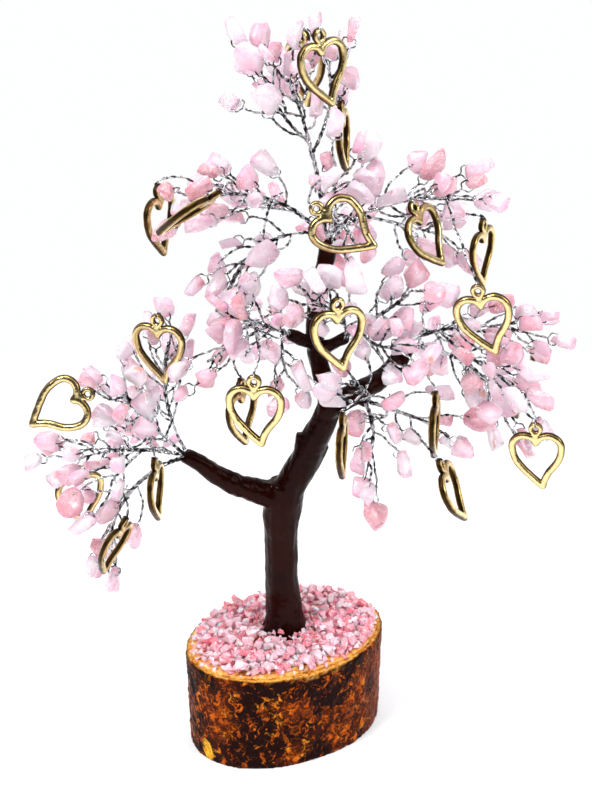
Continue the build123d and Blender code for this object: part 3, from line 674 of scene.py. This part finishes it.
class SliceSettings(bpy.types.PropertyGroup):
    reach: FloatVectorProperty(name="Reach", description="Half length and half width of the slice", size=2,
                               default=(42.0 * mm, 31.1 * mm), unit="LENGTH")
    turn: FloatProperty(name="Turn", description="Turn of the slice's long side from the X axis",
                        default=math.radians(31.6), unit="ROTATION", subtype="ANGLE")
    voxel: FloatProperty(name="Detail", description="Size of the bark's faces", default=0.72 * mm,
                         unit="LENGTH", subtype="DISTANCE")
    relief: FloatProperty(name="Relief", description="Depth of the bark's flakes", default=0.7 * mm,
                          unit="LENGTH", subtype="DISTANCE")
    dark: FloatVectorProperty(name="Dark bark", description="Deep parts of the bark", subtype="COLOR",
                              default=(0.010, 0.0035, 0.0035))
    brown: FloatVectorProperty(name="Brown bark", description="Smooth parts of the bark", subtype="COLOR",
                               default=(0.064, 0.0115, 0.0048))
    orange: FloatVectorProperty(name="Flakes", description="Varnished flakes", subtype="COLOR",
                                default=(0.52, 0.09, 0.0042))
    rim: FloatVectorProperty(name="Rim", description="Cut edge of the bark", subtype="COLOR",
                             default=(0.86, 0.38, 0.05))
    wood: FloatVectorProperty(name="Wood", description="Pale end grain", subtype="COLOR",
                              default=(0.62, 0.42, 0.22))
    glue: FloatVectorProperty(name="Glue", description="Set glue over the wood", subtype="COLOR",
                              default=(0.80, 0.36, 0.06))


class GravelSettings(bpy.types.PropertyGroup):
    small_stones: IntProperty(name="Small stones", description="Crushed quartz between the larger stones",
                              default=560)
    foot_stones: IntProperty(name="Foot stones", description="Stones heaped against the trunk", default=90)
    smallest: FloatProperty(name="Smallest", description="Size of the smallest stones", default=1.5 * mm,
                            unit="LENGTH", subtype="DISTANCE")
    largest: FloatProperty(name="Largest", description="Size of the largest small stones", default=3.2 * mm,
                           unit="LENGTH", subtype="DISTANCE")
    reach: FloatVectorProperty(name="Reach", description="Half length and half width of the bed", size=2,
                               default=(39.8 * mm, 29.0 * mm), unit="LENGTH")
    turn: FloatProperty(name="Turn", description="Turn of the slice's long side from the X axis",
                        default=math.radians(31.6), unit="ROTATION", subtype="ANGLE")
    white: FloatVectorProperty(name="White", description="Palest stones", subtype="COLOR",
                               default=(1.0, 0.96, 0.98))
    pink: FloatVectorProperty(name="Pink", description="Common stones", subtype="COLOR",
                              default=(1.0, 0.51, 0.59))
    deep: FloatVectorProperty(name="Deep", description="Deepest stones", subtype="COLOR",
                              default=(0.94, 0.23, 0.29))


class HeartSettings(bpy.types.PropertyGroup):
    voxel: FloatProperty(name="Detail", description="Size of the castings' faces", default=0.27 * mm,
                         unit="LENGTH", subtype="DISTANCE")
    unevenness: FloatProperty(name="Unevenness", description="Depth of the dents left by casting",
                              default=0.09 * mm, unit="LENGTH", subtype="DISTANCE")
    fullness: FloatProperty(name="Fullness", description="Depth of the metal over the drawn bar",
                            default=0.36 * mm, unit="LENGTH", subtype="DISTANCE")
    bright: FloatVectorProperty(name="Bright", description="Polished brass", subtype="COLOR",
                                default=(0.76, 0.60, 0.29))
    worn: FloatVectorProperty(name="Worn", description="Common brass", subtype="COLOR",
                              default=(0.36, 0.235, 0.07))
    patina: FloatVectorProperty(name="Patina", description="Dark patina", subtype="COLOR",
                                default=(0.034, 0.018, 0.006))


class StageSettings(bpy.types.PropertyGroup):
    height: FloatProperty(name="View height", description="Height that the camera looks at", default=0.144,
                          unit="LENGTH", subtype="DISTANCE")
    distance: FloatProperty(name="Distance", description="From the camera to what it looks at", default=0.64,
                            unit="LENGTH", subtype="DISTANCE")
    elevation: FloatProperty(name="Elevation", description="Height of the camera's view as an angle",
                             default=math.radians(25), unit="ROTATION", subtype="ANGLE")
    lens: FloatProperty(name="Lens", description="Focal length in millimetres", default=77.01,
                        unit="CAMERA")
    backdrop: FloatVectorProperty(name="Backdrop", description="Colour of the floor and backdrop",
                                  subtype="COLOR", default=(0.93, 0.94, 0.96))


def settings():
    return bpy.context.scene.gem_tree


class GEMTREE_OT_chips(bpy.types.Operator):
    """Makes the tumbled rose quartz chips of every spray"""
    bl_idname = "gemtree.chips"
    bl_label = "Rose quartz chips"

    def execute(self, context):
        sizes = settings().chips
        material = quartz_material("rose_quartz", sizes.pale, sizes.pink, sizes.mauve, crushed=False)
        chance = random.Random(11)
        for spray in sprays:
            source = merged_copy(f"{spray}_chips")
            mesh = stone_mesh()
            for part in loose_parts(source):
                middle = middle_of(part)
                grow = sizes.growth * chance.uniform(0.8, 1.24)
                stone = hull_stone([middle + (vert.co - middle) * grow for vert in part], flat_angle=4)
                self.wear(stone, sizes, chance)
                take_in(mesh, stone, min(1.0, max(0.0, chance.gauss(0.36, 0.3))), smooth=True)
            source.free()
            data = finished(mesh, f"{spray}_quartz")
            new_piece(f"{spray}_quartz", data, "tree", material, f"{spray}_chips")
        return {"FINISHED"}

    def wear(self, stone, sizes, chance):
        """Thins a stone towards one side, rounds its edges and dents it"""
        broad = max(stone.faces, key=lambda face: face.calc_area())
        level = broad.normal.copy()
        middle = middle_of(stone.verts)
        slope = level.orthogonal().normalized()
        slope.rotate(Matrix.Rotation(chance.uniform(0, 2 * math.pi), 3, level))
        beside = level.cross(slope)
        reach = max(abs((vert.co - middle).dot(slope)) for vert in stone.verts)
        narrow = sizes.taper * chance.uniform(0.2, 1.5)
        for vert in stone.verts:
            out = max(0.0, 0.5 + 0.5 * (vert.co - middle).dot(slope) / reach)
            thick, wide = (vert.co - middle).dot(level), (vert.co - middle).dot(beside)
            vert.co -= level * thick * sizes.taper * out * chance.uniform(0.5, 1.3)
            vert.co -= beside * wide * narrow * out
        bmesh.ops.bevel(stone, geom=stone.edges[:], offset=sizes.roundness, offset_type="OFFSET", segments=1,
                        profile=0.5, affect="EDGES", clamp_overlap=True, material=-1)
        for _ in range(2):
            bmesh.ops.smooth_vert(stone, verts=stone.verts[:], factor=0.5,
                                  use_axis_x=True, use_axis_y=True, use_axis_z=True)
        stone.normal_update()
        start = Vector((chance.random(), chance.random(), chance.random())) * 50
        for vert in stone.verts:
            vert.co += vert.normal * noise.noise(vert.co * 260 + start) * sizes.unevenness
        bmesh.ops.recalc_face_normals(stone, faces=stone.faces[:])


class GEMTREE_OT_twigs(bpy.types.Operator):
    """Makes the twisted twigs: a wire winds up from the bough, through the chip or eye, and back"""
    bl_idname = "gemtree.twigs"
    bl_label = "Twisted twigs"

    def execute(self, context):
        sizes = settings().wires
        material = tinned_wire(sizes)
        chance = random.Random(23)
        noise.seed_set(kink_seed)    # else noise_vector starts from the clock
        for spray in sprays:
            stems, loops = plain_stems(f"{spray}_twigs")
            lines = []
            for foot, along, end, index in matched_loops(stems, loops):
                lines.append(self.twig(foot, along, end, loops[index], sizes, chance))
            data = wire_mesh(f"{spray}_wires", lines, sizes.width)
            new_piece(f"{spray}_wires", data, "tree", material, f"{spray}_twigs")
        return {"FINISHED"}

    def twig(self, foot, along, end, loop, sizes, chance):
        """The points of one wire: up along the arc with its kinks, round the loop and back"""
        frames = []
        start = chance.uniform(0, 100)
        arc = arc_frames(foot, along, end, sizes.lay / twist_points)
        for index, (spot, heading, side) in enumerate(arc):
            share = index / (len(arc) - 1)
            off = noise.noise_vector(Vector((start, (spot - foot).length * kink_pace, 0)))
            swing = 4 * share * (1 - share) * sizes.kink
            frames.append((spot + (side * off.x + heading.cross(side) * off.y) * swing, heading, side))
        spot, heading, side = frames[0]
        root = [(spot - heading * (depth * mm), heading, side) for depth in twig_root]
        frames = root + frames
        phase = chance.uniform(0, 2 * math.pi)
        reach = sizes.width / 2
        up = strand(frames, lambda share: reach, phase, sizes.lay)
        back = strand(frames, lambda share: reach, phase + math.pi, sizes.lay)
        middle, ahead, across, run, rise = loop_frame(loop, end)
        run -= reach
        rise -= reach
        if (up[-1] - end).dot(across) < 0:
            across = -across
        wrap = [middle + ahead * (run * share) + across * (rise * lift) for share, lift in loop_bend]
        wrap += [middle + ahead * (run * share) - across * (rise * lift)
                 for share, lift in reversed(loop_bend)]
        return up + wrap + back[::-1]


class GEMTREE_OT_boughs(bpy.types.Operator):
    """Makes the boughs: bundles of wire that thin out as their wires leave for the twigs"""
    bl_idname = "gemtree.boughs"
    bl_label = "Boughs"

    def execute(self, context):
        sizes = settings().wires
        material = tinned_wire(sizes)
        chance = random.Random(31)
        for side in ("left", "top", "right"):
            stems, _ = plain_stems(f"{side}_branch_wires")
            lines = []
            for foot, along, end, back, width in stems:
                # A bough's foot is the end nearer to the trunk
                if from_fork(end) < from_fork(foot):
                    foot, along, end = end, back, foot
                lines.extend(self.bough(foot, along, end, width, sizes, chance))
            data = wire_mesh(f"{side}_boughs", lines, sizes.width)
            new_piece(f"{side}_boughs", data, "tree", material, f"{side}_branch_wires")
        return {"FINISHED"}

    def bough(self, foot, along, end, width, sizes, chance):
        """Twisted pairs laid together; they leave one by one towards the tip"""
        frames = arc_frames(foot, along, end, sizes.lay / twist_points)
        spot, heading, side = frames[0]
        root = [(spot - heading * (depth * mm), heading, side) for depth in bough_root]
        frames = root + frames
        pairs = max(3, round(width / pair_width))
        reach = width / 2 - sizes.width * 0.85
        lines = []
        for index in range(pairs):
            stop = 1.0 if index < 2 else 0.5 + 0.5 * ((index * 3) % pairs + 1) / pairs
            last = max(8, round(stop * (len(frames) - 1)))
            wander = chance.uniform(0, 100)
            turn = 2 * math.pi * index / pairs

            def away(share, last=last, wander=wander):
                travel = share * last / (len(frames) - 1)
                return reach * (1 + 0.4 * noise.noise(Vector((wander, travel * 6, 0)))) * (1 - 0.4 * travel)

            middle = strand(frames[:last + 1], away, turn, sizes.bough_lay)
            steps = [(place, frame[1], frame[2]) for place, frame in zip(middle, frames)]
            phase = chance.uniform(0, 2 * math.pi)
            for half in (0, math.pi):
                lines.append(strand(steps, lambda share: sizes.width / 2, phase + half, sizes.lay))
        return lines


class GEMTREE_OT_trunk(bpy.types.Operator):
    """Makes the brown coating of the trunk and limbs"""
    bl_idname = "gemtree.trunk"
    bl_label = "Coated trunk"

    def execute(self, context):
        sizes = settings().trunk
        data = remeshed(merged_copy("trunk_coat"), "coated_trunk", sizes.voxel)

        def lumps(place, normal):
            broad = noise.noise(place * 130) * sizes.lumps
            ridge = noise.noise(Vector((place.x * 420, place.y * 420, place.z * 45))) * sizes.ridges
            fine = noise.noise(place * 520) * sizes.ridges * 0.35
            return broad + ridge + fine

        reshaped(data, lumps, 3)
        material = coating_material("brown_coating", sizes.dark, sizes.warm)
        new_piece("coated_trunk", data, "tree", material, "trunk_coat")
        core = silver_material("core_wire", settings().wires.colour)
        nodes["trunk_core"].material_slots[0].material = core
        return {"FINISHED"}


class GEMTREE_OT_slice(bpy.types.Operator):
    """Makes the slice of branch: flaked bark, end grain and set glue"""
    bl_idname = "gemtree.slice"
    bl_label = "Slice of branch"

    def execute(self, context):
        sizes = settings().slice
        data = remeshed(merged_copy("bark_ring"), "flaked_bark", sizes.voxel)
        low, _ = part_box("bark_ring")

        def flakes(place, normal):
            underneath = normal.z < -0.7 or place.z < low.z + 0.4 * mm
            if underneath or normal.dot(Vector((place.x, place.y, 0)).normalized()) < -0.3:
                return 0.0
            spot = Vector((place.x, place.y, place.z * 0.7))
            coarse = noise.fractal(spot * 190, 0.9, 2.1, 4)
            cell = noise.voronoi(spot * 330 + Vector((coarse, coarse, 0)))[0]
            crack = min(1.0, (cell[1] - cell[0]) * 2.4)
            return sizes.relief * (coarse * 0.45 + crack * 0.5 - 0.35)

        def inside(place, normal):
            """Depth under the bark's surface, as a share of the bark's thickness"""
            spot = Vector((place.x, place.y, 0))
            spot.rotate(Matrix.Rotation(-sizes.turn, 3, "Z"))
            share = math.hypot(spot.x / sizes.reach[0], spot.y / sizes.reach[1])
            return max(0.0, (1 - share) * sizes.reach[1] / bark_depth)

        reshaped(data, flakes, 1, "inside", inside)
        bark = bark_material("varnished_bark", sizes.dark, sizes.brown, sizes.orange, sizes.rim)
        new_piece("flaked_bark", data, "tree", bark, "bark_ring")
        wood = wood_material("end_grain", sizes.wood, (0.42, 0.25, 0.11))
        nodes["wood_core"].material_slots[0].material = wood
        nodes["glue_bed"].material_slots[0].material = glue_material("set_glue", sizes.glue)
        return {"FINISHED"}


class GEMTREE_OT_gravel(bpy.types.Operator):
    """Makes the bed of crushed quartz"""
    bl_idname = "gemtree.gravel"
    bl_label = "Crushed quartz"

    def execute(self, context):
        sizes = settings().gravel
        chance = random.Random(47)
        source = merged_copy("gravel")
        mesh = stone_mesh()
        for part in loose_parts(source):
            middle = middle_of(part)
            tip = Euler((chance.uniform(-0.7, 0.7), chance.uniform(-0.7, 0.7),
                         chance.uniform(0, 6.28))).to_matrix()
            grow = Vector((chance.uniform(0.9, 1.5), chance.uniform(0.8, 1.2), chance.uniform(0.75, 1.05)))
            points = []
            for vert in part:
                jitter = Vector([chance.uniform(-1, 1) for _ in range(3)]) * 0.3 * mm
                points.append(middle + tip @ ((vert.co - middle) * grow) + jitter)
            take_in(mesh, hull_stone(points, flat_angle=16), chance.random(), smooth=False)
        source.free()
        low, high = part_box("gravel")
        for index in range(sizes.small_stones + sizes.foot_stones):
            size = chance.uniform(sizes.smallest, sizes.largest)
            turn = index * golden_turn
            if index < sizes.small_stones:
                share = math.sqrt((index + 0.5) / sizes.small_stones)
                spot = Vector((math.cos(turn) * sizes.reach[0], math.sin(turn) * sizes.reach[1], 0)) * share
                spot.rotate(Matrix.Rotation(sizes.turn, 3, "Z"))
                if spot.length < foot_reach:
                    continue
                rise = chance.uniform(0.0, 0.8) * (high.z - low.z) * min(1.0, (1 - share) * 6)
                spot.z = low.z - 0.9 * mm * max(0.0, share * 12 - 11) + size * 0.35 + rise
            else:
                away = chance.uniform(*heap_span) * mm
                spot = Vector((math.cos(turn) * away, math.sin(turn) * away, 0))
                rise = chance.uniform(0.35, 1.0) * (high.z - low.z)
                spot.z = low.z + rise - (away - heap_span[0] * mm) * 0.4
            points = []
            for _ in range(9):
                corner = Vector((chance.gauss(0, 1), chance.gauss(0, 1), chance.gauss(0, 0.75))).normalized()
                points.append(spot + corner * size * chance.uniform(0.42, 0.62))
            take_in(mesh, hull_stone(points, flat_angle=3), chance.random(), smooth=False)
        data = finished(mesh, "crushed_quartz")
        material = quartz_material("crushed_quartz", sizes.white, sizes.pink, sizes.deep, crushed=True)
        new_piece("crushed_quartz", data, "tree", material, "gravel")
        return {"FINISHED"}


class GEMTREE_OT_hearts(bpy.types.Operator):
    """Makes the cast brass hearts, each on its own body"""
    bl_idname = "gemtree.hearts"
    bl_label = "Cast hearts"

    def execute(self, context):
        sizes = settings().hearts
        material = brass_material("antique_brass", sizes.bright, sizes.worn, sizes.patina)
        axes = {joint["child"]: Vector(joint["axis"]).normalized() for joint in frame["joints"]}
        for name in heart_names:
            facing = axes[name]
            data = remeshed(merged_copy(name), f"cast_{name}", sizes.voxel)

            def dents(place, normal):
                return noise.noise(place * 420) * sizes.unevenness + sizes.fullness

            # Bright where a face turns to the heart's front or back: wear, and also a painted highlight there
            # and painted shade on the bar's sides
            def wear(place, normal):
                return abs(normal.dot(facing)) ** 1.5

            reshaped(data, dents, 9, "wear", wear)
            new_piece(f"cast_{name}", data, name, material, name)
        return {"FINISHED"}


class GEMTREE_OT_stage(bpy.types.Operator):
    """Makes the floor, the lights and the camera"""
    bl_idname = "gemtree.stage"
    bl_label = "Stage"

    def execute(self, context):
        sizes = settings().stage
        context.scene.view_settings.view_transform = "Standard"
        self.lay_floor(sizes)
        self.fill_room(context.scene)
        for name, place, size, power in lamps:
            lamp = bpy.data.lights.new(name, "AREA")
            lamp.size = size
            lamp.energy = power
            holder = linked(name, lamp)
            holder.location = place
            holder.rotation_euler = (Vector(lamp_target) - Vector(place)).to_track_quat("-Z", "Y").to_euler()
        self.place_camera(context.scene, sizes)
        return {"FINISHED"}

    def lay_floor(self, sizes):
        """A pale floor that keeps the object's shadow and is plain white further out"""
        mesh = bmesh.new()
        bmesh.ops.create_grid(mesh, x_segments=1, y_segments=1, size=4.0)
        floor = linked("floor", finished(mesh, "floor"))
        tree, shader, material = new_material("floor")
        tint = ramp(tree, spots(tree, object_place(tree), 1.5, 2),
                    (0.4, sizes.backdrop), (0.6, (0.95, 0.95, 0.95)))
        join(tree, tint, shader, "Base Color")
        shader.inputs["Roughness"].default_value = 0.9
        shader.inputs["Specular IOR Level"].default_value = 0.0
        pale = put(tree, "ShaderNodeEmission", {"Color": (0.99, 0.995, 1.0, 1), "Strength": 1.0})
        rays = put(tree, "ShaderNodeLightPath")
        away = put(tree, "ShaderNodeVectorMath", {0: object_place(tree)}, operation="LENGTH").outputs["Value"]
        share = maths(tree, "MULTIPLY", rays.outputs["Is Camera Ray"],
                      ramp(tree, away, (0.07, 0.3), (0.42, 1.0)))
        both = put(tree, "ShaderNodeMixShader", {0: share, 1: shader.outputs[0], 2: pale.outputs[0]})
        tree.links.new(both.outputs[0], tree.nodes["Material Output"].inputs["Surface"])
        floor.data.materials.append(material)

    def fill_room(self, scene):
        """Even light from all round; in mirrors, a white backdrop behind and above and a dim room in front"""
        world = bpy.data.worlds.new("studio")
        world.use_nodes = True
        scene.world = world
        tree = world.node_tree
        fill = tree.nodes["Background"]
        fill.inputs["Color"].default_value = (0.95, 0.97, 1.0, 1)
        fill.inputs["Strength"].default_value = 0.8
        toward = parted(tree, put(tree, "ShaderNodeTexCoord").outputs["Generated"])
        lift = maths(tree, "ADD", maths(tree, "MULTIPLY", toward["Y"], 0.7), toward["Z"])
        room = ramp(tree, lift, (0.12, (0.05, 0.05, 0.055)), (0.62, (1.0, 1.0, 1.0)))
        rays = put(tree, "ShaderNodeLightPath")
        plain = maths(tree, "MAXIMUM", rays.outputs["Is Camera Ray"], rays.outputs["Is Transmission Ray"])
        tint = mix(tree, plain, room, (0.985, 0.99, 1.0))
        seen = put(tree, "ShaderNodeBackground", {"Color": tint, "Strength": 1.0})
        shown = maths(tree, "MAXIMUM", plain, rays.outputs["Is Glossy Ray"])
        both = put(tree, "ShaderNodeMixShader", {0: shown, 1: fill.outputs[0], 2: seen.outputs[0]})
        tree.links.new(both.outputs[0], tree.nodes["World Output"].inputs["Surface"])

    def place_camera(self, scene, sizes):
        camera = bpy.data.cameras.new("photo_view")
        camera.sensor_width = 36.0
        camera.lens = sizes.lens
        camera.clip_start = 0.01
        camera.clip_end = 50.0
        holder = linked("photo_view", camera)
        holder.location = (camera_across, -sizes.distance * math.cos(sizes.elevation),
                           sizes.height + sizes.distance * math.sin(sizes.elevation))
        holder.rotation_euler = (math.radians(90) - sizes.elevation, 0, 0)
        scene.camera = holder


class GemTreeSettings(bpy.types.PropertyGroup):
    chips: PointerProperty(type=ChipSettings)
    wires: PointerProperty(type=WireSettings)
    trunk: PointerProperty(type=TrunkSettings)
    slice: PointerProperty(type=SliceSettings)
    gravel: PointerProperty(type=GravelSettings)
    hearts: PointerProperty(type=HeartSettings)
    stage: PointerProperty(type=StageSettings)


operators = (GEMTREE_OT_chips, GEMTREE_OT_twigs, GEMTREE_OT_boughs, GEMTREE_OT_trunk, GEMTREE_OT_slice,
             GEMTREE_OT_gravel, GEMTREE_OT_hearts, GEMTREE_OT_stage)
groups = (ChipSettings, WireSettings, TrunkSettings, SliceSettings, GravelSettings, HeartSettings,
          StageSettings)


class GEMTREE_PT_panel(bpy.types.Panel):
    """Lists the pieces of the tree with their sizes and colours"""
    bl_idname = "GEMTREE_PT_panel"
    bl_label = "Gemstone tree"
    bl_space_type = "VIEW_3D"
    bl_region_type = "UI"
    bl_category = "Gemstone tree"

    def draw(self, context):
        for group in ("chips", "wires", "trunk", "slice", "gravel", "hearts", "stage"):
            box = self.layout.box()
            values = getattr(context.scene.gem_tree, group)
            for name in values.__annotations__:
                box.prop(values, name)
        for operator in operators:
            self.layout.operator(operator.bl_idname)


def register():
    for part in (*groups, GemTreeSettings, *operators, GEMTREE_PT_panel):
        bpy.utils.register_class(part)
    bpy.types.Scene.gem_tree = PointerProperty(type=GemTreeSettings)


def unregister():
    del bpy.types.Scene.gem_tree
    for part in reversed((*groups, GemTreeSettings, *operators, GEMTREE_PT_panel)):
        bpy.utils.unregister_class(part)


def main():
    register()
    for operator in operators:
        group, name = operator.bl_idname.split(".")
        getattr(getattr(bpy.ops, group), name)()


if __name__ == "__main__":
    main()
